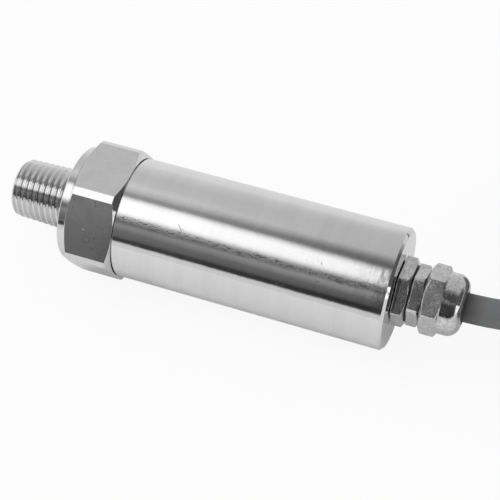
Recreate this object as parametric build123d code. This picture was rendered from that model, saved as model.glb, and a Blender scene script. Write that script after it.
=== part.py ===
from build123d import *
import math
import os

# Pressure sensor with a tapered male thread, a hexagon, a round stainless housing and a cable gland.
# Millimetres. Every piece is drawn about the sensor's own axis, with x = 0 at the seam between the
# hexagon and the housing and +X towards the cable. At the end all are moved to the part's frame:
# the sensor lies on one flat of its hexagon at z = 0, and x = 0 is the middle of its length.

# Process connection
hex_across_flats = 27.0
hex_land_diameter = 30.2
hex_length = 11.4
hex_bevel_angle = 28.0
collar_diameter = 25.5
collar_width = 1.75
collar_edge = 0.25
thread_length = 14.35
thread_tip_diameter = 12.92
thread_taper = 1 / 16
thread_pitch = 1.411
thread_depth = 0.86
thread_root_overlap = 0.12
thread_root_width = 0.14 * thread_pitch
thread_crest_width = 0.16 * thread_pitch
thread_tip_bevel = 0.85
thread_run_out = 1.2
thread_neck = 1.3
port_diameter = 4.5
port_bevel = 0.5
spigot_length = 6.5
spigot_bevel = 0.4
seam_gap = 0.22
seam_seat_width = 0.9
seam_step = 0.25
spigot_wall = 2.12

# Housing
housing_diameter = 26.64
housing_length = 60.1
housing_wall = 1.62
housing_end_wall = 3.0
housing_rim_bevel = 0.6
housing_o_ring_section = 1.5
housing_groove_width = 1.88
housing_groove_place = 2.47

# Measuring cell and what holds it
cell_length = 8.6
cell_stop = 0.4
cell_rim_width = 0.9
cell_recess_depth = 0.7
cell_o_ring_section = 1.45
cell_groove_width = 2.0
cell_groove_offset = 1.6
chamber_depth = 0.8
chamber_margin = 1.5
diaphragm_thickness = 0.15
diaphragm_wave = 0.25
diaphragm_waves = 2
pin_count = 5
pin_diameter = 0.5
pin_edge_distance = 1.5
pin_length = 4.2
glass_diameter = 1.3
glass_depth = 1.2
retaining_ring_length = 3.0
retaining_ring_wall = 3.35
retaining_ring_thread = 0.7
spanner_slot_width = 2.0
spanner_slot_depth = 1.2
round_board_room = 1.0
round_board_thickness = 1.0
round_board_offset = 2.2

# Electronics
carrier_plate_thickness = 2.0
carrier_window_side_room = 2.0
carrier_window_top_room = 0.5
carrier_rail_width = 2.0
carrier_rail_height = 4.4
carrier_ring_width = 2.5
carrier_ring_wall = 1.8
board_length = 38.0
board_side_room = 1.5
board_thickness = 1.6
board_groove_depth = 1.0
chip_size = (7.6, 10.2, 2.3)
chip_place = (10.0, -2.5)
trimmer_size = (6.6, 6.6, 4.6)
trimmer_spacing = 8.4
trimmer_place = 21.5
trimmer_screw_diameter = 2.6
trimmer_screw_recess = 0.5
trimmer_slot = (2.1, 0.6)
capacitor_diameter = 5.0
capacitor_length = 7.0
capacitor_place = 10.5
capacitor_edge_distance = 3.9
capacitor_waist = 5.6
capacitor_waist_width = 0.5
capacitor_waist_depth = 0.25
resistor_size = (1.25, 2.0, 0.5)
resistor_pitch = 2.6
resistor_count = 5
resistor_place = (29.0, 0.0)
terminal_length = 7.0
terminal_width = 11.4
terminal_head_room = 1.0
terminal_pitch = 3.8
terminal_entry_diameter = 2.2
terminal_entry_drop = 3.82
terminal_entry_depth = 4.5
terminal_screw_diameter = 2.4
terminal_screw_length = 2.2
terminal_slot = (0.5, 0.6)
ribbon_pin_room = 1.5
ribbon_thickness = 0.3
ribbon_foot_height = 2.4
ribbon_corner = 1.2
ribbon_landing = 3.0
core_bend_room = 2.2
core_leave_room = 1.0
core_entry_gap = 0.3

# Cable gland
gland_gasket_thickness = 0.2
gland_gasket_face = 0.95
gland_thread_diameter = 10.0
lock_nut_across_flats = 13.4
lock_nut_land_diameter = 15.3
lock_nut_thickness = 2.65
lock_nut_turn = -9.6
seal_washer_thickness = 0.4
seal_washer_face = 1.05
gland_foot_step = 0.4
gland_across_flats = 12.0
gland_land_diameter = 13.4
gland_hex_length = 2.5
gland_turn = -19.8
gland_bore_diameter = 7.0
dome_thread_diameter = 11.0
dome_thread_length = 5.1
insert_bore_diameter = 9.6
insert_seat_depth = 1.5
dome_nut_gap = 0.25
dome_nut_across_flats = 13.4
dome_nut_land_diameter = 15.35
dome_nut_turn = -22.6
dome_nut_hex_length = 4.0
dome_length = 4.4
dome_diameter = 13.4
dome_rounding = 2.8
dome_mouth_diameter = 7.5
dome_mouth_land = 1.0
dome_mouth_cone = 0.6
dome_throat_step = 0.6
nut_bevel_angle = 30.0

# Clamping insert, slip ring and cable seal inside the dome nut
insert_wall = 0.7
insert_slot_count = 6
insert_slot_width = 0.5
insert_slot_length = 3.6
finger_taper_length = 1.8
finger_taper_inset = 0.3
finger_nose_radius = 4.1
finger_nose_wall = 0.45
finger_root_length = 0.6
finger_root_depth = 0.15
slip_ring_thickness = 0.6
slip_ring_offset = 0.6
seal_mouth_inset = 0.3
seal_flare = 0.35
seal_lip_cone = 0.3
seal_lip_clearance = 0.1

# Cable and its cores
cable_diameter = 6.4
core_diameter = 1.5
core_circle_diameter = 2.9
cable_start_inset = 14.0
core_first_run = 6.0
channel_margin = 0.6
channel_shift = 0.8
channel_overrun = 8.0
coil_mean_diameter = 70.0
coil_edge_ease = 0.1
coil_layers = 2
coil_turns_per_layer = 3
tie_thickness = 0.8
tie_width = 5.0
tie_room = 0.3
tie_angles = (40.0, 155.0)

# Clearances
running_clearance = 0.06
fit_clearance = 0.05
seat_clearance = 0.03

# The cable's route from the gland to the coil and from the coil to its free end, in the part's
# frame. The lead leaves straight, sinks to the coil's upper layer and runs into its outer turn.
# Its free end leaves the outer turn of the lower layer.
lead_route = [(55.0, 0.0, 13.5), (67.0, -0.7, 10.4)]
lead_last_run = 22.0
lead_last_heading = -16.0
tail_turn = 16.0
tail_first_run = 22.0
tail_end = (130.5, -8.9, 3.4)
core_ends = {"red": (143.0, -4.6, 0.9), "black": (144.3, -9.6, 0.9), "shield": (142.2, -13.2, 0.9)}

# Worked out from the above
axis_height = hex_across_flats / 2
nose_start = -hex_length - collar_width - thread_length
gasket_start = housing_length
lock_nut_start = gasket_start + gland_gasket_thickness
washer_start = lock_nut_start + lock_nut_thickness
gland_start = washer_start + seal_washer_thickness
gland_hex_end = gland_start + gland_hex_length
dome_nut_start = gland_hex_end + dome_nut_gap
dome_start = dome_nut_start + dome_nut_hex_length
mouth_end = dome_start + dome_length
middle = (nose_start + mouth_end) / 2
gland_rim = gland_hex_end + dome_thread_length
insert_seat = gland_hex_end - insert_seat_depth
bore_radius = housing_diameter / 2 - housing_wall
spigot_radius = bore_radius - seat_clearance
cell_start = spigot_length - retaining_ring_length - cell_length - cell_stop
cell_end = cell_start + cell_length
seat_radius = spigot_radius - spigot_wall
cell_radius = seat_radius - fit_clearance
ring_radius = seat_radius + retaining_ring_thread / 2
ring_bore_radius = ring_radius - fit_clearance - retaining_ring_wall
round_board_radius = ring_bore_radius - round_board_room
pin_circle_radius = round_board_radius - pin_edge_distance
ribbon_width = 2 * (pin_circle_radius - ribbon_pin_room)
round_board_start = cell_end + round_board_offset
board_start = spigot_length + carrier_plate_thickness
board_top = board_thickness / 2
board_width = 2 * (bore_radius - board_side_room)
terminal_height = math.sqrt(bore_radius**2 - (terminal_width / 2) ** 2) - board_top - terminal_head_room
terminal_entry_height = board_top + terminal_height - terminal_entry_drop
terminal_end = board_start + board_length
terminal_start = terminal_end - terminal_length
gland_hole_radius = gland_thread_diameter / 2 + fit_clearance
cable_radius = cable_diameter / 2
coil_outer_turn = coil_mean_diameter / 2 + cable_diameter * (coil_turns_per_layer - 1) / 2
coil_width = cable_diameter * coil_turns_per_layer
coil_height = cable_diameter * coil_layers
coil_bottom = tie_thickness
hanging = (Align.CENTER, Align.CENTER, Align.MAX)


def turned(*points):
    """A solid turned about the X axis from a closed outline of (x, radius) points."""
    return revolve(make_face(Polyline(*points, close=True)), Axis.X, 360)


def ring(start, end, inner_radius, outer_radius):
    return turned((start, inner_radius), (end, inner_radius), (end, outer_radius), (start, outer_radius))


def rod(start, end, radius, y=0.0, z=0.0):
    """A round bar along X whose centre line passes through (y, z)."""
    section = Plane.YZ.offset(start) * Pos(y, z) * Circle(radius)
    return extrude(section, end - start)


def hexagon_bar(start, end, across_flats, turn=0.0):
    """A hexagonal bar along X. With no turn, two of its flats face up and down."""
    section = Plane.YZ.offset(start) * RegularPolygon(across_flats / 2, 6, major_radius=False, rotation=turn)
    return extrude(section, end - start)


def o_ring(x, centre_radius, section_diameter):
    return Pos(x, 0, 0) * Rot(0, 90, 0) * Torus(centre_radius, section_diameter / 2)


def brick(size, x, y, z):
    """A block with its near face at x, centred on y and standing on z."""
    return Pos(x, y, z) * Box(*size, align=(Align.MIN, Align.CENTER, Align.MIN))


def crest_radius(x):
    """Radius of the tapered thread's crests at x along the nose."""
    return thread_tip_diameter / 2 + (x - nose_start) * thread_taper / 2


def thread_ridge(collar_start):
    """The helical ridge of the tapered thread, longer than the nose at its tip."""
    ridge_start = nose_start - thread_pitch
    ridge_height = collar_start - thread_neck - ridge_start
    root = crest_radius(ridge_start) - thread_depth
    half_root = thread_pitch / 2 - thread_root_width / 2
    half_crest = thread_crest_width / 2
    helix = Helix(
        pitch=thread_pitch,
        height=ridge_height,
        radius=root,
        center=(ridge_start, 0, 0),
        direction=(1, 0, 0),
        cone_angle=math.degrees(math.atan(thread_taper / 2)),
    )
    outline = [
        (-half_root, -thread_root_overlap),
        (-half_crest, thread_depth),
        (half_crest, thread_depth),
        (half_root, -thread_root_overlap),
    ]
    profile_plane = Plane(origin=helix @ 0, x_dir=(1, 0, 0), z_dir=(0, -1, 0))
    profile = profile_plane * make_face(Polyline(*outline, close=True))
    return sweep(profile, path=helix, is_frenet=True)


def threaded_nose(collar_start):
    """Tapered male thread with a bevelled tip, whose last turns run out into a plain neck."""
    root_at_tip = crest_radius(nose_start) - thread_depth
    root_at_collar = crest_radius(collar_start) - thread_depth
    neck_start = collar_start - thread_neck
    run_out_start = neck_start - thread_run_out
    core = turned(
        (nose_start, 0),
        (nose_start, root_at_tip),
        (collar_start, root_at_collar),
        (collar_start, 0),
    )
    envelope = turned(
        (nose_start, 0),
        (nose_start, crest_radius(nose_start) - thread_tip_bevel),
        (nose_start + thread_tip_bevel, crest_radius(nose_start + thread_tip_bevel)),
        (run_out_start, crest_radius(run_out_start)),
        (neck_start, crest_radius(neck_start) - thread_depth),
        (collar_start, root_at_collar),
        (collar_start, 0),
    )
    return (core + (thread_ridge(collar_start) & envelope)) & envelope


def process_connection():
    """Thread, collar, hexagon and spigot in one piece, bored for the pressure port and the cell."""
    hex_start = -hex_length
    collar_start = hex_start - collar_width
    collar_radius = collar_diameter / 2
    land_radius = hex_land_diameter / 2
    rear_radius = housing_diameter / 2 + seam_step
    bevel = math.tan(math.radians(hex_bevel_angle))
    collar = turned(
        (collar_start, 0),
        (collar_start, collar_radius - collar_edge),
        (collar_start + collar_edge, collar_radius),
        (hex_start, collar_radius),
        (hex_start, 0),
    )
    land = turned(
        (hex_start, 0),
        (hex_start, collar_radius),
        (hex_start + (land_radius - collar_radius) * bevel, land_radius),
        (-seam_gap - (land_radius - rear_radius) * bevel, land_radius),
        (-seam_gap, rear_radius),
        (-seam_gap, 0),
    )
    hexagon = hexagon_bar(hex_start, -seam_gap, hex_across_flats) & land
    seat = rod(-seam_gap, 0, spigot_radius + seam_seat_width)
    spigot = turned(
        (0, 0),
        (0, spigot_radius),
        (spigot_length - spigot_bevel, spigot_radius),
        (spigot_length, spigot_radius - spigot_bevel),
        (spigot_length, 0),
    )
    body = threaded_nose(collar_start) + collar + hexagon + seat + spigot
    return body - process_bore() - housing_o_ring_groove()


def process_bore():
    """Pressure port, chamber before the diaphragm, cell seat and the retaining ring's thread."""
    port_radius = port_diameter / 2
    chamber_radius = seat_radius - chamber_margin
    return turned(
        (nose_start, 0),
        (nose_start, port_radius + port_bevel),
        (nose_start + port_bevel, port_radius),
        (cell_start - chamber_depth, port_radius),
        (cell_start - chamber_depth, chamber_radius),
        (cell_start, chamber_radius),
        (cell_start, seat_radius),
        (cell_end, seat_radius),
        (cell_end, ring_radius),
        (spigot_length, ring_radius),
        (spigot_length, 0),
    )


def housing_groove_floor():
    return bore_radius - housing_o_ring_section + seat_clearance


def housing_o_ring_groove():
    start = housing_groove_place - housing_groove_width / 2
    return ring(start, start + housing_groove_width, housing_groove_floor(), housing_diameter / 2)


def housing_o_ring():
    floor = housing_groove_floor()
    section = bore_radius - floor - 2 * seat_clearance
    return o_ring(housing_groove_place, (bore_radius + floor) / 2, section)


def housing_tube():
    """Round housing with its rear wall in one piece, bevelled round the rear rim."""
    outer = housing_diameter / 2
    inner_end = housing_length - housing_end_wall
    return turned(
        (0, bore_radius),
        (0, outer),
        (housing_length - housing_rim_bevel, outer),
        (housing_length, outer - housing_rim_bevel),
        (housing_length, gland_hole_radius),
        (inner_end, gland_hole_radius),
        (inner_end, bore_radius),
    )


def pin_places():
    """(y, z) of each pin of the cell, on a circle about the axis."""
    step = 360 / pin_count
    spots = [Vector(pin_circle_radius, 0).rotate(Axis.Z, step * i) for i in range(pin_count)]
    return [(spot.X, spot.Y) for spot in spots]


def sensor_capsule():
    """Round steel cell with a recessed front, a side groove for its seal and five pin holes."""
    groove_start = cell_start + cell_groove_offset
    groove_end = groove_start + cell_groove_width
    groove_floor = seat_radius - cell_o_ring_section
    recess_radius = cell_radius - cell_rim_width
    body = turned(
        (cell_start + cell_recess_depth, 0),
        (cell_start + cell_recess_depth, recess_radius),
        (cell_start, recess_radius),
        (cell_start, cell_radius),
        (groove_start, cell_radius),
        (groove_start, groove_floor),
        (groove_end, groove_floor),
        (groove_end, cell_radius),
        (cell_end, cell_radius),
        (cell_end, 0),
    )
    for y, z in pin_places():
        body -= rod(cell_end - glass_depth, cell_end, glass_diameter / 2, y, z)
    return body


def sensor_diaphragm():
    """Thin foil with round corrugations, lying on the cell's recessed front."""
    radius = cell_radius - cell_rim_width - seat_clearance
    back = cell_start + cell_recess_depth
    edge = back - diaphragm_thickness
    span = radius / (2 * diaphragm_waves + 1)
    front = [(edge, radius)]
    for wave in range(diaphragm_waves):
        outer = radius - span * (2 * wave + 0.5)
        front += [(edge, outer), (edge - diaphragm_wave, outer - span / 2)]
        front += [(edge - diaphragm_wave, outer - span), (edge, outer - span * 1.5)]
    return turned((back, 0), (back, radius), *front, (edge, 0))


def glass_feedthroughs():
    start = cell_end - glass_depth
    beads = []
    for y, z in pin_places():
        bead = rod(start, cell_end, glass_diameter / 2, y, z)
        beads.append(bead - rod(start, cell_end, pin_diameter / 2, y, z))
    return beads


def capsule_pins():
    start = cell_end - glass_depth
    return [rod(start, cell_end + pin_length, pin_diameter / 2, y, z) for y, z in pin_places()]


def sensor_o_ring():
    section = cell_o_ring_section - 2 * seat_clearance
    centre = cell_start + cell_groove_offset + cell_groove_width / 2
    return o_ring(centre, seat_radius - cell_o_ring_section / 2, section)


def retaining_ring():
    """Threaded ring behind the cell, with two slots for a pin spanner."""
    end = cell_end + retaining_ring_length
    outer = ring_radius - fit_clearance
    body = ring(cell_end, end, ring_bore_radius, outer)
    slot = brick((spanner_slot_depth, 3 * outer, spanner_slot_width), end - spanner_slot_depth, 0, 0)
    return body - Pos(0, 0, -spanner_slot_width / 2) * slot


def compensation_board():
    """Small round board that sits on the cell's pins."""
    end = round_board_start + round_board_thickness
    board = rod(round_board_start, end, round_board_radius)
    for y, z in pin_places():
        board -= rod(round_board_start, end, pin_diameter / 2, y, z)
    return board


def sensor_ribbon():
    """Flat lead from the round board up to the top of the long board, bent twice."""
    start = round_board_start + round_board_thickness
    landing = board_start + ribbon_landing
    corner = start + ribbon_corner
    low = ribbon_foot_height - round_board_radius
    high = board_top
    thick = ribbon_thickness
    front = [(start, low), (corner + thick, low), (corner + thick, high), (landing, high)]
    back = [(landing, high + thick), (corner, high + thick), (corner, low + thick), (start, low + thick)]
    outline = Plane.XZ.offset(-ribbon_width / 2) * make_face(Polyline(*front, *back, close=True))
    return extrude(outline, ribbon_width)


def board_carrier():
    """Moulded frame: a front plate, two grooved side rails and a rear ring."""
    outer = bore_radius - fit_clearance
    plate = rod(spigot_length, board_start, outer)
    window_width = 2 * (pin_circle_radius + carrier_window_side_room)
    window_height = 2 * (pin_circle_radius + carrier_window_top_room)
    window_size = (carrier_plate_thickness, window_width, window_height)
    window = brick(window_size, spigot_length, 0, -window_height / 2)
    rail_length = board_length + carrier_ring_width
    rail_middle = board_width / 2 - board_groove_depth + carrier_rail_width / 2
    rail_size = (rail_length, carrier_rail_width, carrier_rail_height)
    ring_start = board_start + board_length
    body = plate - window
    for side in (-1, 1):
        body += brick(rail_size, board_start, side * rail_middle, -carrier_rail_height / 2)
    body += ring(ring_start, ring_start + carrier_ring_width, outer - carrier_ring_wall, outer)
    groove = brick(
        (board_length, board_width + 2 * seat_clearance, board_thickness + 2 * seat_clearance),
        board_start,
        0,
        -board_top - seat_clearance,
    )
    return body - groove


def amplifier_board():
    return brick((board_length, board_width, board_thickness), board_start, 0, -board_top)


def amplifier_chip():
    x, y = chip_place
    return brick(chip_size, board_start + x, y, board_top)


def trimmer(side):
    """A trimming resistor, a square block with a slotted screw let into its top."""
    x = board_start + trimmer_place
    y = side * trimmer_spacing / 2
    block = brick(trimmer_size, x, y, board_top)
    recess = Cylinder(trimmer_screw_diameter / 2, trimmer_screw_recess, align=hanging)
    slot = Box(*trimmer_slot, trimmer_screw_recess, align=hanging)
    place = Pos(x + trimmer_size[0] / 2, y, board_top + trimmer_size[2])
    return block - place * recess + place * (recess - slot)


def filter_capacitor():
    """Can capacitor lying on the board, with a rolled waist."""
    radius = capacitor_diameter / 2
    y = board_width / 2 - capacitor_edge_distance
    start = board_start + capacitor_place
    can = rod(start, start + capacitor_length, radius, y, board_top + radius)
    waist_start = start + capacitor_waist
    waist_end = waist_start + capacitor_waist_width
    waist = ring(waist_start, waist_end, radius - capacitor_waist_depth, capacitor_diameter)
    return can - Pos(0, y, board_top + radius) * waist


def resistors():
    x, y = resistor_place
    first = y - resistor_pitch * (resistor_count - 1) / 2
    return [
        brick(resistor_size, board_start + x, first + resistor_pitch * i, board_top)
        for i in range(resistor_count)
    ]


def terminal_rows():
    """y of each of the three terminals."""
    return [terminal_pitch * i for i in (-1, 0, 1)]


def terminal_tops():
    """Middle of each terminal screw's head, in the block's top."""
    top = board_top + terminal_height
    return [Pos(terminal_start + terminal_length / 2, y, top) for y in terminal_rows()]


def terminal_block():
    """Block with three wire entries facing the gland and three screw wells in its top."""
    block = brick((terminal_length, terminal_width, terminal_height), terminal_start, 0, board_top)
    entry_start = terminal_end - terminal_entry_depth
    entry_radius = terminal_entry_diameter / 2
    for y in terminal_rows():
        block -= rod(entry_start, terminal_end, entry_radius, y, terminal_entry_height)
    for place in terminal_tops():
        well_radius = terminal_screw_diameter / 2 + fit_clearance
        block -= place * Cylinder(well_radius, terminal_screw_length, align=hanging)
    return block


def terminal_screws():
    """Slotted screws, flush with the top of the terminal block."""
    slot_width, slot_depth = terminal_slot
    screws = []
    for place in terminal_tops():
        screw = Cylinder(terminal_screw_diameter / 2, terminal_screw_length, align=hanging)
        screws.append(place * (screw - Box(terminal_screw_diameter, slot_width, slot_depth, align=hanging)))
    return screws


def washer(start, thickness, face):
    """Flat ring round the gland's lower thread."""
    return ring(start, start + thickness, gland_hole_radius, gland_hole_radius + face)


def gland_gasket():
    return washer(gasket_start, gland_gasket_thickness, gland_gasket_face)


def seal_washer():
    return washer(washer_start, seal_washer_thickness, seal_washer_face)


def bevelled_land(start, end, land_diameter, flats, bevel_front, bevel_back):
    """Turned outline that a hexagon is cut to: its corners' land and the bevels at its ends."""
    land = land_diameter / 2
    bevel = math.tan(math.radians(nut_bevel_angle))
    rim = flats / 2
    fall = (land - rim) * bevel
    front = [(start, rim), (start + fall, land)] if bevel_front else [(start, land)]
    back = [(end - fall, land), (end, rim)] if bevel_back else [(end, land)]
    return turned((start, 0), *front, *back, (end, 0))


def lock_nut():
    """Thin hexagon nut against the rear wall, bevelled on the cable side."""
    start, end = lock_nut_start, lock_nut_start + lock_nut_thickness
    bar = hexagon_bar(start, end, lock_nut_across_flats, lock_nut_turn)
    land = bevelled_land(start, end, lock_nut_land_diameter, lock_nut_across_flats, False, True)
    return (bar & land) - rod(start, end, gland_hole_radius)


def gland_body():
    """Hexagon with a thread on each side, bored for the cable and the clamping insert."""
    foot = housing_length - housing_end_wall - gland_foot_step
    bar = hexagon_bar(gland_start, gland_hex_end, gland_across_flats, gland_turn)
    land = bevelled_land(gland_start, gland_hex_end, gland_land_diameter, gland_across_flats, False, True)
    lower = rod(foot, gland_start, gland_thread_diameter / 2)
    upper = rod(gland_hex_end, gland_rim, dome_thread_diameter / 2)
    bore = rod(foot, gland_rim, gland_bore_diameter / 2)
    pocket = rod(insert_seat, gland_rim, insert_bore_diameter / 2)
    return (bar & land) + lower + upper - bore - pocket


def finger_outline():
    """Outside of the clamping insert: where its fingers start to taper and where they end."""
    taper_start = gland_rim + finger_taper_inset
    return taper_start, taper_start + finger_taper_length


def clamping_insert():
    """Sleeve in the gland body whose slotted fingers close on the seal under the dome nut."""
    outer = insert_bore_diameter / 2 - fit_clearance
    inner = outer - insert_wall
    taper_start, nose = finger_outline()
    sleeve = turned(
        (insert_seat, inner),
        (insert_seat, outer),
        (taper_start, outer),
        (nose, finger_nose_radius),
        (nose, finger_nose_radius - finger_nose_wall),
        (taper_start, inner - finger_root_depth),
        (taper_start - finger_root_length, inner),
    )
    slot = brick((insert_slot_length, 3 * outer, insert_slot_width), nose - insert_slot_length, 0, 0)
    slot = Pos(0, 0, -insert_slot_width / 2) * slot
    for index in range(insert_slot_count // 2):
        sleeve -= Rot(360 / insert_slot_count * index, 0, 0) * slot
    return sleeve


def cable_seal():
    """Rubber sleeve round the cable, whose flared lip shows in the mouth of the dome nut."""
    inner = insert_bore_diameter / 2 - fit_clearance - insert_wall
    sleeve_radius = inner - finger_root_depth - seat_clearance
    neck_radius = finger_nose_radius - finger_nose_wall - seat_clearance
    taper_start, nose = finger_outline()
    lip = dome_mouth_diameter / 2 - seal_lip_clearance
    end = mouth_end - seal_mouth_inset
    hole = cable_radius + seat_clearance
    return turned(
        (insert_seat, hole),
        (insert_seat, sleeve_radius),
        (taper_start - finger_root_length, sleeve_radius),
        (taper_start, sleeve_radius - finger_root_depth),
        (nose, neck_radius),
        (nose + seal_lip_cone, lip),
        (end, lip),
        (end, hole + seal_flare),
        (gland_rim, hole),
    )


def thrust_ring():
    """Slip ring that the dome nut's shoulder pushes on to the insert's fingers."""
    start = gland_rim + slip_ring_offset
    end = start + slip_ring_thickness
    taper_start, nose = finger_outline()
    outer = insert_bore_diameter / 2 - fit_clearance
    slope = (outer - finger_nose_radius) / finger_taper_length
    cone = [outer - (x - taper_start) * slope + fit_clearance for x in (start, end)]
    rim = dome_thread_diameter / 2 - fit_clearance
    return turned((start, cone[0]), (start, rim), (end, rim), (end, cone[1]))


def dome_profile():
    """Outside of the dome nut behind its hexagon: a straight skirt, then a rounding to the mouth."""
    radius = dome_diameter / 2
    skirt_end = mouth_end - dome_rounding
    rounding = dome_rounding * math.sqrt(0.5)
    arc_middle = (skirt_end + rounding, radius - dome_rounding + rounding)
    arc_end = (mouth_end, radius - dome_rounding)
    lines = [
        Line((dome_nut_start, 0), (dome_nut_start, radius)),
        Line((dome_nut_start, radius), (skirt_end, radius)),
        ThreePointArc((skirt_end, radius), arc_middle, arc_end),
        Line(arc_end, (mouth_end, 0)),
        Line((mouth_end, 0), (dome_nut_start, 0)),
    ]
    return revolve(make_face(lines), Axis.X, 360)


def dome_nut():
    """Hexagon with a rounded dome, threaded inside and stepped in to the cable's mouth."""
    bar = hexagon_bar(dome_nut_start, dome_start, dome_nut_across_flats, dome_nut_turn)
    land = bevelled_land(
        dome_nut_start, dome_start, dome_nut_land_diameter, dome_nut_across_flats, True, True
    )
    shoulder = gland_rim + slip_ring_offset + slip_ring_thickness + seat_clearance
    thread = dome_thread_diameter / 2 + running_clearance
    throat = finger_nose_radius + dome_throat_step
    mouth = dome_mouth_diameter / 2
    cavity = turned(
        (dome_nut_start, 0),
        (dome_nut_start, thread),
        (shoulder, thread),
        (shoulder, throat),
        (mouth_end - dome_mouth_land - dome_mouth_cone, throat),
        (mouth_end - dome_mouth_land, mouth),
        (mouth_end, mouth),
        (mouth_end, 0),
    )
    return (bar & land) + dome_profile() - cavity


def route_tube(name, points, radius):
    """A plain tube along straight runs joined by arcs as large as the runs allow."""
    places = [Vector(*point) for point in points]
    radii = []
    for before, here, after in zip(places, places[1:], places[2:]):
        turn = (here - before).get_angle(after - here)
        shorter = min((here - before).length, (after - here).length)
        radii.append(0.45 * shorter / math.tan(math.radians(turn / 2)))
    print(name, "bend radii", [round(value, 1) for value in radii])
    path = FilletPolyline(*points, radius=radii) if radii else Line(*points)
    section = Plane(origin=points[0], z_dir=path % 0) * Circle(radius)
    tube = sweep(section, path=path)
    share = tube.volume / (path.length * section.area)
    print(name, "length", round(path.length, 1), "volume share", round(share, 4))
    return tube


def heading(degrees):
    return Vector(math.cos(math.radians(degrees)), math.sin(math.radians(degrees)), 0)


def coil_places():
    """Centre of the coil, where the lead meets its upper outer turn and where the tail leaves it."""
    start = Vector(*lead_route[-1])
    join = start + heading(lead_last_heading) * lead_last_run
    centre = join + heading(lead_last_heading + 90) * coil_outer_turn
    leave = centre + heading(lead_last_heading - 90 + tail_turn) * coil_outer_turn
    low = coil_bottom + cable_radius
    high = coil_bottom + coil_height - cable_radius
    return Vector(centre.X, centre.Y, 0), Vector(join.X, join.Y, high), Vector(leave.X, leave.Y, low)


def cable():
    """The lead from inside the gland to where it joins the coil."""
    centre, join, leave = coil_places()
    start = (mouth_end - middle - cable_start_inset, 0, axis_height)
    return route_tube("cable", [start, *lead_route, tuple(join)], cable_radius)


def cable_coil():
    """Outer shape of the coiled lead, with a channel where each end of it leaves the turns."""
    centre, join, leave = coil_places()
    inner = coil_mean_diameter / 2 - coil_width / 2
    section = Plane.XZ * Pos(inner + coil_width / 2, coil_bottom + coil_height / 2)
    section = section * RectangleRounded(coil_width, coil_height, cable_radius - coil_edge_ease)
    coil = Pos(centre) * revolve(section, Axis.Z, 360)
    width = cable_diameter + 2 * channel_margin
    length = lead_last_run + channel_overrun
    channel = Box(length, width + channel_shift, width)
    into = Pos(join) * Rot(0, 0, lead_last_heading) * Pos(-length / 2, channel_shift / 2, 0)
    away = Pos(leave) * Rot(0, 0, lead_last_heading + tail_turn) * Pos(length / 2, 0, 0)
    return coil - into * channel - away * channel


def coil_ties():
    """Two flat straps round the coil, which lies on them."""
    centre, join, leave = coil_places()
    opening = (coil_width + 2 * tie_room, tie_width, coil_height)
    outside = (opening[0] + 2 * tie_thickness, tie_width, coil_height + 2 * tie_thickness)
    strap = Box(*outside) - Box(*opening)
    middle_z = coil_bottom + coil_height / 2
    ties = []
    for angle in tie_angles:
        place = Pos(centre + heading(angle) * (coil_mean_diameter / 2)) * Pos(0, 0, middle_z)
        ties.append(place * Rot(0, 0, angle) * strap)
    return ties


def tail_points():
    centre, join, leave = coil_places()
    return [leave, leave + heading(lead_last_heading + tail_turn) * tail_first_run, Vector(*tail_end)]


def cable_tail():
    """The free end of the cable, from the coil down to the surface."""
    return route_tube("cable_tail", [tuple(point) for point in tail_points()], cable_radius)


def core_offsets():
    """Places of the three cores in the cable's section, across and up."""
    radius = core_circle_diameter / 2 / math.cos(math.radians(30))
    spots = {"red": 150, "black": 270, "shield": 30}
    return {
        name: (radius * math.cos(math.radians(angle)), radius * math.sin(math.radians(angle)))
        for name, angle in spots.items()
    }


def tail_core(name):
    """A core that stands out of the cable's cut end and comes to rest on the surface."""
    leave, knee, end = tail_points()
    along = (end - knee).normalized()
    side = along.cross(Vector(0, 0, 1)).normalized()
    up = side.cross(along)
    across, rise = core_offsets()[name]
    start = end + side * across + up * rise
    finish = Vector(*core_ends[name])
    bend = start + along * core_first_run
    points = [tuple(start), tuple(bend), tuple(finish)]
    return route_tube(name + "_tail_core", points, core_diameter / 2)


def inner_core(name):
    """A core between the stripped end of the cable and its terminal."""
    across, rise = core_offsets()[name]
    row = dict(zip(("red", "black", "shield"), terminal_rows()))[name]
    start_x = mouth_end - cable_start_inset
    entry_x = terminal_end - terminal_entry_depth + core_entry_gap
    bend_x = terminal_end + core_bend_room
    leave_x = housing_length - housing_end_wall - core_leave_room
    points = [
        (start_x, across, rise),
        (leave_x, across, rise),
        (bend_x, row, terminal_entry_height),
        (entry_x, row, terminal_entry_height),
    ]
    return route_tube(name + "_core", points, core_diameter / 2)


def placed(shapes):
    """Moves what was drawn about the sensor's axis to the part's frame."""
    shapes = shapes if isinstance(shapes, list) else [shapes]
    return [Pos(-middle, 0, axis_height) * shape for shape in shapes]


def write_node(name, shapes):
    solids = [solid for shape in shapes for solid in shape.solids()]
    shape = solids[0] if len(solids) == 1 else Compound(children=solids)
    export_step(shape, os.path.join("parts", name + ".step"))


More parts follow.
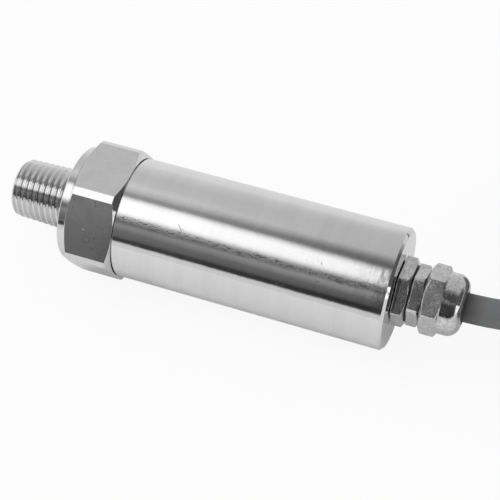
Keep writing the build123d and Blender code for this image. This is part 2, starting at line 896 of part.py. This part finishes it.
sensor_pieces = {
    "process_connection": process_connection,
    "housing_tube": housing_tube,
    "housing_o_ring": housing_o_ring,
    "sensor_capsule": sensor_capsule,
    "sensor_diaphragm": sensor_diaphragm,
    "glass_feedthroughs": glass_feedthroughs,
    "capsule_pins": capsule_pins,
    "sensor_o_ring": sensor_o_ring,
    "retaining_ring": retaining_ring,
    "compensation_board": compensation_board,
    "sensor_ribbon": sensor_ribbon,
    "board_carrier": board_carrier,
    "amplifier_board": amplifier_board,
    "amplifier_chip": amplifier_chip,
    "zero_trimmer": lambda: trimmer(-1),
    "span_trimmer": lambda: trimmer(1),
    "filter_capacitor": filter_capacitor,
    "resistors": resistors,
    "terminal_block": terminal_block,
    "terminal_screws": terminal_screws,
    "red_core": lambda: inner_core("red"),
    "black_core": lambda: inner_core("black"),
    "shield_core": lambda: inner_core("shield"),
    "gland_gasket": gland_gasket,
    "lock_nut": lock_nut,
    "seal_washer": seal_washer,
    "gland_body": gland_body,
    "clamping_insert": clamping_insert,
    "cable_seal": cable_seal,
    "thrust_ring": thrust_ring,
    "dome_nut": dome_nut,
}

# These are drawn in the part's frame already.
cable_pieces = {
    "cable": cable,
    "cable_coil": cable_coil,
    "coil_ties": coil_ties,
    "cable_tail": cable_tail,
    "red_tail_core": lambda: tail_core("red"),
    "black_tail_core": lambda: tail_core("black"),
    "shield_tail_core": lambda: tail_core("shield"),
}

os.makedirs("parts", exist_ok=True)
for name, make in sensor_pieces.items():
    write_node(name, placed(make()))
for name, make in cable_pieces.items():
    made = make()
    write_node(name, made if isinstance(made, list) else [made])
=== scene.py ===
import math

import bpy
from mathutils import Matrix, Vector


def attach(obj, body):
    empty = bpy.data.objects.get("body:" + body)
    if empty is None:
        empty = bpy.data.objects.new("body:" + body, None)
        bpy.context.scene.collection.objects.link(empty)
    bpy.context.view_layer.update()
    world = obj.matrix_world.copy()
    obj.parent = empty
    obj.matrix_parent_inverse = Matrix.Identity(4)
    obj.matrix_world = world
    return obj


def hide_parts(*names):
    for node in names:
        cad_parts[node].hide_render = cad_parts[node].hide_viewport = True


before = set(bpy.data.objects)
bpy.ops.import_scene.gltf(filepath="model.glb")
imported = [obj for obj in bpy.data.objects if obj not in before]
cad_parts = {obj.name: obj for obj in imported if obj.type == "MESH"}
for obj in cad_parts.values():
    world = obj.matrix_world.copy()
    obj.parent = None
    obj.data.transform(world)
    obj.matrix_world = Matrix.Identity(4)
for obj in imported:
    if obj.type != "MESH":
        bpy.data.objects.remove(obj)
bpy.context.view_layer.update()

# Places on the sensor, in metres. Its axis lies along X at this height
axis_height = 0.0135
hexagon_start_x = -0.0343
seam_x = -0.0235
dome_mouth_x = 0.051

# The camera looks at the seam between hexagon and tube
camera_yaw = 20.8993
camera_elevation = 49.8676
camera_roll = -0.875
camera_side = 0.0250707
camera_rise = -0.0071457
camera_distance = 0.325269
camera_lens = 106.499
camera_sensor = 36
camera_near = 0.01

# The lead, in metres: the route's points, then the coil and the free tail
cable_diameter = 0.0064
lead_route = [
    (0.037, 0.0, 0.0135),
    (0.054, 0.0, 0.0135),
    (0.062, 0.0012, 0.0139),
    (0.073, -0.0045, 0.0111),
]
coil_centre = (0.099560, 0.033034)
coil_radii = (0.0414, 0.0350, 0.0286)
coil_high = 0.0104
coil_low = 0.0040
coil_start_angle = -106.0
coil_start_offset = 0.9 * cable_diameter
coil_points_per_turn = 16
coil_step_points = 3
tail_route = [(0.1010, -0.0098, 0.0040), (0.1190, -0.0094, 0.0037), (0.1305, -0.0089, 0.0034)]


def camera_axes():
    """Directions to the right, up and back of the camera."""
    yaw = math.radians(camera_yaw)
    elevation = math.radians(camera_elevation)
    roll = math.radians(camera_roll)
    flat = math.cos(elevation)
    back = Vector((math.sin(yaw) * flat, -math.cos(yaw) * flat, math.sin(elevation)))
    level = Vector((math.cos(yaw), math.sin(yaw), 0))
    upright = back.cross(level)
    right = level * math.cos(roll) + upright * math.sin(roll)
    up = upright * math.cos(roll) - level * math.sin(roll)
    return right, up, back


def place_camera():
    right, up, back = camera_axes()
    target = Vector((seam_x, 0, axis_height))
    eye = target + back * camera_distance + right * camera_side + up * camera_rise
    data = bpy.data.cameras.new("camera")
    data.lens = camera_lens
    data.sensor_width = camera_sensor
    data.clip_start = camera_near
    camera = bpy.data.objects.new("camera", data)
    turn = Matrix((right, up, back)).transposed().to_4x4()
    camera.matrix_world = Matrix.Translation(eye) @ turn
    bpy.context.collection.objects.link(camera)
    bpy.context.scene.camera = camera


def meshed(curve, name):
    """The mesh that a curve draws, as it is set now."""
    bpy.context.view_layer.update()
    graph = bpy.context.evaluated_depsgraph_get()
    mesh = bpy.data.meshes.new_from_object(curve.evaluated_get(graph))
    mesh.name = name
    return mesh


def cord_tube(name, points, diameter, sides=5, steps=6):
    """A round cable along one open spline: the piece, and the points of its centreline."""
    data = bpy.data.curves.new(name, "CURVE")
    data.dimensions = "3D"
    data.bevel_resolution = sides
    data.use_fill_caps = True
    spline = data.splines.new("NURBS")
    spline.points.add(len(points) - 1)
    for place, point in zip(spline.points, points):
        place.co = (*point, 1)
    spline.order_u = 3
    spline.use_endpoint_u = True
    spline.resolution_u = steps
    route = bpy.data.objects.new(name + "_route", data)
    bpy.context.collection.objects.link(route)
    line = [tuple(v.co) for v in meshed(route, name + "_line").vertices]
    data.bevel_depth = diameter / 2
    piece = bpy.data.objects.new(name, meshed(route, name))
    bpy.context.collection.objects.link(piece)
    bpy.data.objects.remove(route)
    return piece, line


def coil_points():
    """Three turns inwards in the upper layer, then three outwards in the lower one."""
    layer_turns = len(coil_radii)
    turns = 2 * layer_turns
    radii = [coil_radii[0] + coil_start_offset, *coil_radii, *reversed(coil_radii)]
    heights = [coil_high] * (layer_turns + 1) + [coil_low] * layer_turns
    # The spline cuts the corners of its points, so they lie a little outside the turn
    outward = 2 / (1 + math.cos(math.pi / coil_points_per_turn))
    points = []
    for index in range(turns * coil_points_per_turn + 1):
        before, step = divmod(index, coil_points_per_turn)
        after = min(before + 1, turns)
        share = min(step / coil_step_points, 1)
        share = share * share * (3 - 2 * share)
        radius = radii[before] + (radii[after] - radii[before]) * share
        height = heights[before] + (heights[after] - heights[before]) * share
        angle = math.radians(coil_start_angle + 360 * index / coil_points_per_turn)
        x = coil_centre[0] + radius * outward * math.cos(angle)
        y = coil_centre[1] + radius * outward * math.sin(angle)
        points.append((x, y, height))
    return points


place_camera()
lead, lead_line = cord_tube("lead", [*lead_route, *coil_points(), *tail_route], cable_diameter)
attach(lead, "sensor")
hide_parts("cable", "cable_coil", "cable_tail")


# Shader nodes
def node(tree, kind, **inputs):
    """Adds a shader node, with its sockets set to numbers or joined to other sockets."""
    made = tree.nodes.new("ShaderNode" + kind)
    for name, value in inputs.items():
        if name in ("operation", "data_type"):
            setattr(made, name, value)
            continue
        key = int(name[1:]) if name[0] == "_" else name.replace("_", " ")
        if isinstance(value, bpy.types.NodeSocket):
            tree.links.new(value, made.inputs[key])
        else:
            made.inputs[key].default_value = value
    return made


def maths(tree, operation, first, second=0.0):
    return node(tree, "Math", operation=operation, _0=first, _1=second).outputs[0]


def total(tree, first, second):
    return maths(tree, "ADD", first, second)


def difference(tree, first, second):
    return maths(tree, "SUBTRACT", first, second)


def product(tree, first, second):
    return maths(tree, "MULTIPLY", first, second)


def weighed(tree, share, first, second):
    """A share of one number with the rest of another."""
    return total(tree, product(tree, first, share), product(tree, second, 1 - share))


def larger(tree, first, second):
    return maths(tree, "MAXIMUM", first, second)


def gap(tree, first, second):
    """How far two numbers are apart."""
    return maths(tree, "ABSOLUTE", difference(tree, first, second))


def split(tree, vector):
    """The x, y and z of a vector."""
    return node(tree, "SeparateXYZ", Vector=vector).outputs


def combined(tree, x, y, z):
    return node(tree, "CombineXYZ", X=x, Y=y, Z=z).outputs[0]


def noise(tree, vector, scale=1.0, detail=3.0, roughness=0.55):
    made = node(tree, "TexNoise", Vector=vector, Scale=scale, Detail=detail, Roughness=roughness)
    return made.outputs["Fac"]


def ranged(tree, value, low, high, from_low=0.3, from_high=0.7):
    """A number that goes from one level to another while a value goes through its range."""
    ends = {"From_Min": from_low, "From_Max": from_high, "To_Min": low, "To_Max": high}
    return node(tree, "MapRange", Value=value, **ends).outputs["Result"]


def reached(tree, value, start=0.3, end=0.7):
    """How much of the way from start to end a value has gone, from 0 to 1."""
    return ranged(tree, value, 0.0, 1.0, start, end)


def left(tree, value, start, end):
    """How much of the way from start to end a value still has to go, from 1 to 0."""
    return ranged(tree, value, 1.0, 0.0, start, end)


def faded(tree, share, first, second):
    """A number between two others."""
    made = node(tree, "Mix", data_type="FLOAT", _0=share, _2=first, _3=second)
    return made.outputs[0]


def chosen(tree, share, first, second):
    """A colour between two, which are sockets, colours or grey levels."""
    ends = []
    for value in (first, second):
        if isinstance(value, float):
            value = (value, value, value)
        ends.append((*value, 1) if isinstance(value, tuple) else value)
    return node(tree, "Mix", data_type="RGBA", _0=share, _6=ends[0], _7=ends[1]).outputs[2]


def within(tree, share, value, low, high):
    """A share where a value lies between two others, and nothing elsewhere."""
    above = maths(tree, "GREATER_THAN", value, low)
    below = maths(tree, "LESS_THAN", value, high)
    return product(tree, share, product(tree, above, below))


# Wear on the housing: a strip of nicks along its front. Angles go round the axis from the front up
strip_angle = math.radians(46.5)
strip_half_angle = math.radians(3.5)
strip_core_share = 0.25
strip_wander = math.radians(2.0)
strip_wander_scale = 130
strip_wander_levels = (0.2, 0.8)
strip_start_x = -0.0234
strip_fade = 0.001
wisp_scales = (520, 2400)
wisp_levels = (0.49, 0.61)
fleck_scale = 2100
fleck_levels = (0.53, 0.64)
nick_depth = 8e-6
nick_shade = (0.33, 0.335, 0.345)
# Three single scratches there, from one place to another: x in metres and angle in degrees
scores = [
    ((-0.00986, 56.0), (-0.00898, 51.7)),
    ((-0.00966, 45.0), (-0.00857, 52.9)),
    ((-0.00796, 45.6), (-0.00696, 49.5)),
]
score_half_angle = math.radians(0.55)
score_core_share = 0.4
score_strength = 0.8
# Two dull scuffs on the hexagon's front flat: the place, radius and added roughness of each
scuffs = [
    ((-0.0302, -0.0119, 0.0199), 0.0005, 0.36),
    ((-0.0292, -0.0129, 0.01806), 0.0011, 0.16),
]
scuff_core_share = 0.4

# Turned steel. Scales are noise per metre, here along the axis and round it, or on flats fine and
# broad. Levels are the ends of a noise's useful range
turning_scales = (5200, 90)
turning_wave_scales = (420, 30)
milled_scales = (1500, 260)
wave_share = 0.6
patch_scale = 160
patch_levels = (0.5, 0.62)
mark_scale = 900
mark_levels = (0.62, 0.74)
worn_shade = 4.0
worn_roughness = 0.10

# Nickel plate
mottle_scale = 1900
mottle_share = 0.65
mottle_levels = (0.35, 0.65)
speck_scale = 3400
speck_levels = (0.54, 0.68)
speck_relief = 0.4
plate_cloud_scale = 420
plate_cloud_levels = (0.4, 0.6)
plate_cloud_dullness = (0.2, 1.0)

# Plastic and the cable's sheath
plastic_cloud_scale = 120
sheath_grain_scale = 2200
sheath_cloud_scale = 140

# Rounding of the edges that the shader draws, in metres, and its samples
steel_edge_radius = 1.2e-4
brass_edge_radius = 3.6e-4
edge_samples = 6

# Painted shade on the cable where it leaves the gland: the gland's shadow, painted darker into the
# sheath's colour
painted_shade_start_x = dome_mouth_x + 0.0004
painted_shade_end_x = dome_mouth_x + 0.0048
painted_shade_ragged = 0.0008
painted_shade_strength = 0.85


def blank(name, metallic):
    """A material with its shader, and the place on the surface in metres."""
    material = bpy.data.materials.new(name)
    material.use_nodes = True
    tree = material.node_tree
    shader = tree.nodes["Principled BSDF"]
    shader.inputs["Metallic"].default_value = metallic
    place = tree.nodes.new("ShaderNodeTexCoord").outputs["Object"]
    return material, tree, shader, place


def joined(tree, shader, colour, roughness, height, **normal):
    """Joins a material's colour, roughness and relief in metres to its shader."""
    bump = node(tree, "Bump", Strength=1.0, Distance=1.0, Height=height, **normal)
    tree.links.new(colour, shader.inputs["Base Color"])
    tree.links.new(roughness, shader.inputs["Roughness"])
    tree.links.new(bump.outputs[0], shader.inputs["Normal"])


def rounded(tree, radius):
    """The surface's direction with its edges eased by a small radius."""
    made = node(tree, "Bevel", Radius=radius)
    made.samples = edge_samples
    return made.outputs[0]


def lathe_grain(tree, place, along, around):
    """A place drawn out round the sensor's axis, so that noise there looks like a tool's marks."""
    x, y, z = split(tree, place)
    height = difference(tree, z, axis_height)
    square = total(tree, product(tree, y, y), product(tree, height, height))
    run = total(tree, x, maths(tree, "SQRT", square))
    stretched = [product(tree, run, along)]
    stretched += [product(tree, side, around) for side in (y, height)]
    return combined(tree, *stretched)


def scuffed(tree, place):
    """The roughness that the scuffs add at a place."""
    added = 0.0
    for centre, radius, dullness in scuffs:
        apart = node(tree, "VectorMath", operation="DISTANCE", _0=place, _1=centre).outputs["Value"]
        scuff = ranged(tree, apart, dullness, 0.0, radius * scuff_core_share, radius)
        added = larger(tree, scuff, added)
    return added


def scored(tree, along, turn, start, end):
    """A single straight scratch between two places on the housing."""
    share = maths(tree, "DIVIDE", difference(tree, along, start[0]), end[0] - start[0])
    rise = math.radians(end[1] - start[1])
    line = total(tree, product(tree, share, rise), math.radians(start[1]))
    core = score_half_angle * score_core_share
    near = ranged(tree, gap(tree, turn, line), score_strength, 0.0, core, score_half_angle)
    return within(tree, near, share, 0.0, 1.0)


def scratched_strip(tree, place):
    """Where years of lying on a bench have nicked the housing, from 0 to 1."""
    x, y, z = split(tree, place)
    height = difference(tree, z, axis_height)
    turn = maths(tree, "ARCTAN2", height, product(tree, y, -1.0))
    wavering = noise(tree, place, strip_wander_scale, detail=2.0)
    wander = ranged(tree, wavering, -strip_wander, strip_wander, *strip_wander_levels)
    apart = gap(tree, total(tree, turn, wander), strip_angle)
    inside = left(tree, apart, strip_half_angle * strip_core_share, strip_half_angle)
    past_start = reached(tree, x, strip_start_x, strip_start_x + strip_fade)
    along, across = wisp_scales
    drawn = combined(
        tree, product(tree, x, along), product(tree, y, across), product(tree, height, across)
    )
    wisps = reached(tree, noise(tree, drawn, detail=4.0, roughness=0.65), *wisp_levels)
    flecks = noise(tree, place, fleck_scale, detail=4.0, roughness=0.7)
    either = larger(tree, wisps, reached(tree, flecks, *fleck_levels))
    strip = product(tree, either, product(tree, inside, past_start))
    for start, end in scores:
        strip = larger(tree, strip, scored(tree, x, turn, start, end))
    return strip


def turned_steel(name, greys, roughness, groove, wave, milled=False, nicked=False):
    """Stainless steel with fine turning marks, soft waves and a few handling marks."""
    material, tree, shader, place = blank(name, metallic=1.0)
    fine = noise(tree, lathe_grain(tree, place, *turning_scales), detail=4.0)
    broad = noise(tree, lathe_grain(tree, place, *turning_wave_scales), detail=2.0)
    if milled:
        flat = maths(tree, "GREATER_THAN", split(tree, place)[0], hexagon_start_x)
        flat_fine, flat_broad = milled_scales
        fine = faded(tree, flat, fine, noise(tree, place, flat_fine))
        broad = faded(tree, flat, broad, noise(tree, place, flat_broad, detail=2.0))
    patches = noise(tree, place, patch_scale)
    marks = noise(tree, place, mark_scale, detail=5.0, roughness=0.7)
    worn = reached(tree, marks, *mark_levels)
    worn = product(tree, worn, reached(tree, patches, *patch_levels))
    nicks = scratched_strip(tree, place) if nicked else None
    if nicked:
        worn = larger(tree, worn, nicks)
    tone = weighed(tree, wave_share, broad, fine)
    shade = difference(tree, reached(tree, tone), product(tree, worn, worn_shade))
    colour = chosen(tree, shade, *greys)
    if nicked:
        colour = chosen(tree, nicks, colour, nick_shade)
    level = total(tree, ranged(tree, broad, *roughness), product(tree, worn, worn_roughness))
    if milled:
        level = total(tree, level, scuffed(tree, place))
    height = total(tree, product(tree, fine, groove), product(tree, patches, wave))
    height = difference(tree, height, product(tree, worn, nick_depth))
    joined(tree, shader, colour, level, height, Normal=rounded(tree, steel_edge_radius))
    return material


def plated_brass(name, greys, roughness, pit):
    """Nickel plate over a coarse casting, mottled, with dull specks and slightly pitted."""
    material, tree, shader, place = blank(name, metallic=1.0)
    mottle = noise(tree, place, mottle_scale, detail=4.0, roughness=0.65)
    specks = noise(tree, place, speck_scale, roughness=0.6)
    cloud = noise(tree, place, plate_cloud_scale)
    tone = weighed(tree, mottle_share, mottle, cloud)
    colour = chosen(tree, reached(tree, tone, *mottle_levels), *greys)
    cloudy = ranged(tree, cloud, *plate_cloud_dullness, *plate_cloud_levels)
    dull = product(tree, reached(tree, specks, *speck_levels), cloudy)
    smooth, rough = roughness
    level = total(tree, smooth, product(tree, dull, rough - smooth))
    height = total(tree, product(tree, mottle, pit), product(tree, specks, pit * speck_relief))
    joined(tree, shader, colour, level, height, Normal=rounded(tree, brass_edge_radius))
    return material


def shades(colour, spread):
    """A darker and a lighter shade of a colour."""
    return tuple(c * (1 - spread) for c in colour), tuple(min(c * (1 + spread), 1) for c in colour)


def moulded(name, colour, spread, roughness, grain_size, grain_height, metallic=0.0):
    """Plastic, rubber, board or plain metal with a fine grain and an uneven tone."""
    material, tree, shader, place = blank(name, metallic)
    grain = noise(tree, place, 1 / grain_size)
    cloud = noise(tree, place, plastic_cloud_scale)
    tone = chosen(tree, reached(tree, cloud), *shades(colour, spread))
    level = ranged(tree, grain, *roughness)
    joined(tree, shader, tone, level, product(tree, grain, grain_height))
    return material


def sheathed(name, colour, spread, painted_shade_colour, roughness, grain_height):
    """Cable sheath with a faint grain, and painted shade where it leaves the gland that stands in
    for the gland's shadow.
    """
    material, tree, shader, place = blank(name, metallic=0.0)
    grain = noise(tree, place, sheath_grain_scale)
    cloud = noise(tree, place, sheath_cloud_scale)
    clean = chosen(tree, reached(tree, cloud), *shades(colour, spread))
    # Painted shade: the sheath darkens towards the gland's mouth, over a ragged edge, in place of
    # the gland's shadow
    edge = total(tree, split(tree, place)[0], product(tree, cloud, painted_shade_ragged))
    painted_shade_share = ranged(tree, edge, painted_shade_strength, 0.0, painted_shade_start_x, painted_shade_end_x)
    tone = chosen(tree, painted_shade_share, clean, painted_shade_colour)
    level = ranged(tree, grain, *roughness)
    joined(tree, shader, tone, level, product(tree, grain, grain_height))
    return material


# Materials by slot. Sizes and heights of grain, grooves and waves are in metres
finishes = {
    "stainless": turned_steel(
        "turned_steel",
        greys=(0.71, 0.79),
        roughness=(0.05, 0.10),
        groove=1.0e-6,
        wave=8e-6,
        milled=True,
    ),
    "stainless_tube": turned_steel(
        "tube_steel",
        greys=(0.74, 0.80),
        roughness=(0.045, 0.085),
        groove=8e-7,
        wave=3e-5,
        nicked=True,
    ),
    "cell_steel": turned_steel(
        "cell_steel", greys=(0.62, 0.70), roughness=(0.22, 0.32), groove=2e-6, wave=4e-6
    ),
    "nickel_plate": plated_brass(
        "nickel_plate", greys=(0.46, 0.84), roughness=(0.06, 0.34), pit=7e-6
    ),
    "cable_grey": sheathed(
        "cable_sheath",
        colour=(0.158, 0.160, 0.163),
        spread=0.05,
        # The colour of the painted shade at the gland's mouth
        painted_shade_colour=(0.030, 0.030, 0.031),
        roughness=(0.45, 0.58),
        grain_height=8e-6,
    ),
}

# Colour, spread of its shades, roughness from and to, size and height of the grain
plastics = {
    "black_rubber": ((0.022, 0.022, 0.023), 0.2, (0.55, 0.7), 4e-4, 8e-6),
    "green_glass": ((0.05, 0.16, 0.10), 0.1, (0.08, 0.14), 6e-4, 2e-6),
    "white_ceramic": ((0.80, 0.79, 0.76), 0.03, (0.35, 0.5), 5e-4, 4e-6),
    "ribbon_film": ((0.52, 0.25, 0.06), 0.08, (0.25, 0.35), 8e-4, 3e-6),
    "carrier_plastic": ((0.03, 0.03, 0.032), 0.15, (0.4, 0.55), 4e-4, 8e-6),
    "board_green": ((0.02, 0.17, 0.07), 0.12, (0.3, 0.42), 3e-4, 4e-6),
    "chip_black": ((0.02, 0.02, 0.021), 0.15, (0.5, 0.62), 2.5e-4, 5e-6),
    "trimmer_blue": ((0.03, 0.12, 0.42), 0.08, (0.35, 0.45), 4e-4, 4e-6),
    "terminal_green": ((0.03, 0.30, 0.12), 0.08, (0.38, 0.5), 4e-4, 6e-6),
    "core_red": ((0.52, 0.02, 0.02), 0.06, (0.35, 0.48), 6e-4, 4e-6),
    "core_black": ((0.02, 0.02, 0.02), 0.15, (0.35, 0.48), 6e-4, 4e-6),
    "core_clear": ((0.62, 0.62, 0.60), 0.05, (0.3, 0.42), 6e-4, 5e-6),
    "insert_plastic": ((0.05, 0.05, 0.052), 0.1, (0.38, 0.5), 4e-4, 6e-6),
    "tie_plastic": ((0.045, 0.045, 0.047), 0.1, (0.38, 0.5), 5e-4, 6e-6),
}
plain_metals = {
    "gold_pins": ((0.78, 0.58, 0.24), 0.05, (0.2, 0.3), 3e-4, 2e-6),
    "can_metal": ((0.62, 0.62, 0.63), 0.04, (0.25, 0.35), 4e-4, 3e-6),
    "screw_steel": ((0.60, 0.60, 0.60), 0.05, (0.22, 0.34), 3e-4, 3e-6),
}
for kinds, metallic in ((plastics, 0.0), (plain_metals, 1.0)):
    for slot, numbers in kinds.items():
        finishes[slot] = moulded(slot, *numbers, metallic=metallic)


def dress_nodes():
    """Gives each piece carried over from the solids the finish of its slot."""
    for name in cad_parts:
        piece = bpy.data.objects.get(name)
        if piece is None or piece.type != "MESH":
            continue
        for place in piece.material_slots:
            place.material = finishes[place.material.name.split(".")[0]]


dress_nodes()
lead.data.materials.append(finishes["cable_grey"])

# Studio: a pale floor, in metres, and how much of it is plain white to the camera and to metal
floor_half = 0.55
floor_front = -0.09
floor_back = 0.55
floor_white_share = 0.9
floor_mirror_share = 0.1
floor_greys = (0.86, 0.88)
floor_roughness = 0.9
floor_cloud_scale = 30

# The room that polished metal shows. Directions go round the sensor's axis in degrees, 0 to the
# front and 90 overhead. Each row is an angle and the brightness there towards the process end,
# ahead, and towards the cable end, past the end of the soft lamp
room_bands = [
    (-180.0, 0.84, 0.80, 0.72),
    (-12.5, 0.74, 0.72, 0.68),
    (-4.6, 0.71, 0.68, 0.66),
    (-1.6, 0.05, 0.05, 0.045),
    (4.5, 0.05, 0.02, 0.04),
    (7.5, 0.10, 0.05, 0.045),
    (10.5, 0.14, 0.095, 0.05),
    (20.0, 0.17, 0.15, 0.05),
    (26.0, 0.25, 0.26, 0.06),
    (31.0, 0.28, 0.33, 0.06),
    (35.0, 0.19, 0.30, 0.06),
    (40.0, 0.15, 0.22, 0.05),
    (43.5, 0.30, 0.30, 0.06),
    (48.0, 0.70, 0.46, 0.08),
    (52.5, 1.15, 0.84, 0.20),
    (56.0, 1.30, 1.06, 0.20),
    (60.0, 1.32, 1.18, 0.08),
    (73.0, 1.32, 1.18, 0.07),
    (79.0, 1.20, 0.78, 0.08),
    (83.0, 0.85, 0.36, 0.09),
    (86.5, 0.36, 0.16, 0.12),
    (92.0, 0.36, 0.16, 0.18),
    (98.0, 0.56, 0.26, 0.30),
    (108.0, 0.72, 0.52, 0.52),
    (122.0, 0.62, 0.56, 0.56),
    (141.0, 0.60, 0.56, 0.58),
    (156.0, 0.68, 0.58, 0.60),
    (169.0, 0.76, 0.66, 0.62),
    (174.0, 0.81, 0.72, 0.66),
    (180.0, 0.84, 0.80, 0.72),
]
# Where the bands change along the axis, by the x of a direction
room_ends = (-0.30, -0.15)
lamp_ends = (-0.144, -0.132)
# A bright streak low at the cable end, a dark corner above it, and a shade over the process end
streak_ends = (0.80, 0.90)
streak_angles = (-20.0, 52.0)
streak_level = 1.4
corner_ends = (0.62, 0.84)
corner_angles = (60.0, 178.0)
corner_level = 0.10
shade_ends = (-0.68, -0.55)
shade_angles = (88.0, 180.0)
shade_level = 0.30
# A pale card that only the hexagon's front flat shows, and the angles between which it brightens
card_ends = (-0.3185, -0.3165)
card_angles = (5.4, 8.8)
card_levels = (0.165, 0.27)
card_rise = (7.2, 8.2)
# The room's even light on everything that isn't polished
plain_light = 0.74

# The soft lamp over the process end, in metres and watts
lamp_place = (-0.5, -0.1, 0.65)
lamp_target = (0.02, 0, 0)
lamp_size = 0.4
lamp_power = 1.7


def make_floor():
    mesh = bpy.data.meshes.new("floor")
    corners = [
        (-floor_half, floor_front, 0),
        (floor_half, floor_front, 0),
        (floor_half, floor_back, 0),
        (-floor_half, floor_back, 0),
    ]
    mesh.from_pydata(corners, [], [(0, 1, 2, 3)])
    floor = bpy.data.objects.new("floor", mesh)
    bpy.context.collection.objects.link(floor)
    material, tree, shader, place = blank("floor_white", metallic=0.0)
    shader.inputs["Roughness"].default_value = floor_roughness
    shader.inputs["Specular IOR Level"].default_value = 0.0
    cloud = noise(tree, place, floor_cloud_scale)
    tone = chosen(tree, reached(tree, cloud), *floor_greys)
    tree.links.new(tone, shader.inputs["Base Color"])
    glow = node(tree, "Emission", Color=(1, 1, 1, 1), Strength=1.0)
    light = tree.nodes.new("ShaderNodeLightPath").outputs
    seen = product(tree, light["Is Camera Ray"], floor_white_share)
    mirrored = product(tree, light["Is Glossy Ray"], floor_mirror_share)
    share = total(tree, seen, mirrored)
    mixed = node(tree, "MixShader", _0=share, _1=shader.outputs[0], _2=glow.outputs[0])
    tree.links.new(mixed.outputs[0], tree.nodes["Material Output"].inputs[0])
    mesh.materials.append(material)


def room_ramp(tree, turn, column):
    """The bands of the room as a ramp over the whole turn."""
    ramp = tree.nodes.new("ShaderNodeValToRGB")
    tree.links.new(turn, ramp.inputs[0])
    stops = ramp.color_ramp.elements
    while len(stops) > 1:
        stops.remove(stops[-1])
    for index, band in enumerate(room_bands):
        position = band[0] / 360 + 0.5
        stop = stops[0] if index == 0 else stops.new(position)
        stop.position = position
        stop.color = (band[column], band[column], band[column], 1)
    return ramp.outputs[0]


def make_room():
    world = bpy.data.worlds.new("room")
    bpy.context.scene.world = world
    world.use_nodes = True
    tree = world.node_tree
    x, y, z = split(tree, tree.nodes.new("ShaderNodeTexCoord").outputs["Generated"])
    angle = maths(tree, "ARCTAN2", z, product(tree, y, -1.0))
    turn = total(tree, maths(tree, "DIVIDE", angle, 2 * math.pi), 0.5)
    process_end, ahead, cable_end = [room_ramp(tree, turn, column) for column in (1, 2, 3)]
    bands = chosen(tree, reached(tree, x, *room_ends), process_end, ahead)
    bands = chosen(tree, reached(tree, x, *lamp_ends), bands, cable_end)
    degrees = product(tree, angle, 180 / math.pi)
    brightening = ranged(tree, degrees, *card_levels, *card_rise)
    for share, angles, level in (
        (reached(tree, x, *streak_ends), streak_angles, streak_level),
        (reached(tree, x, *corner_ends), corner_angles, corner_level),
        (left(tree, x, *shade_ends), shade_angles, shade_level),
        (left(tree, x, *card_ends), card_angles, brightening),
    ):
        bands = chosen(tree, within(tree, share, degrees, *angles), bands, level)
    light = tree.nodes.new("ShaderNodeLightPath").outputs
    lit = chosen(tree, light["Is Glossy Ray"], plain_light, bands)
    seen = chosen(tree, light["Is Camera Ray"], lit, 1.0)
    background = tree.nodes["Background"].inputs
    tree.links.new(seen, background["Color"])
    background["Strength"].default_value = 1.0


def make_soft_lamp():
    """A soft lamp that lights the object but isn't itself mirrored in it."""
    data = bpy.data.lights.new("key_lamp", "AREA")
    data.shape = "RECTANGLE"
    data.size = data.size_y = lamp_size
    data.energy = lamp_power
    lamp = bpy.data.objects.new("key_lamp", data)
    lamp.location = lamp_place
    aim = Vector(lamp_target) - Vector(lamp_place)
    lamp.rotation_euler = aim.to_track_quat("-Z", "Y").to_euler()
    lamp.visible_glossy = False
    bpy.context.collection.objects.link(lamp)


make_floor()
make_room()
make_soft_lamp()
bpy.context.scene.view_settings.view_transform = "Standard"
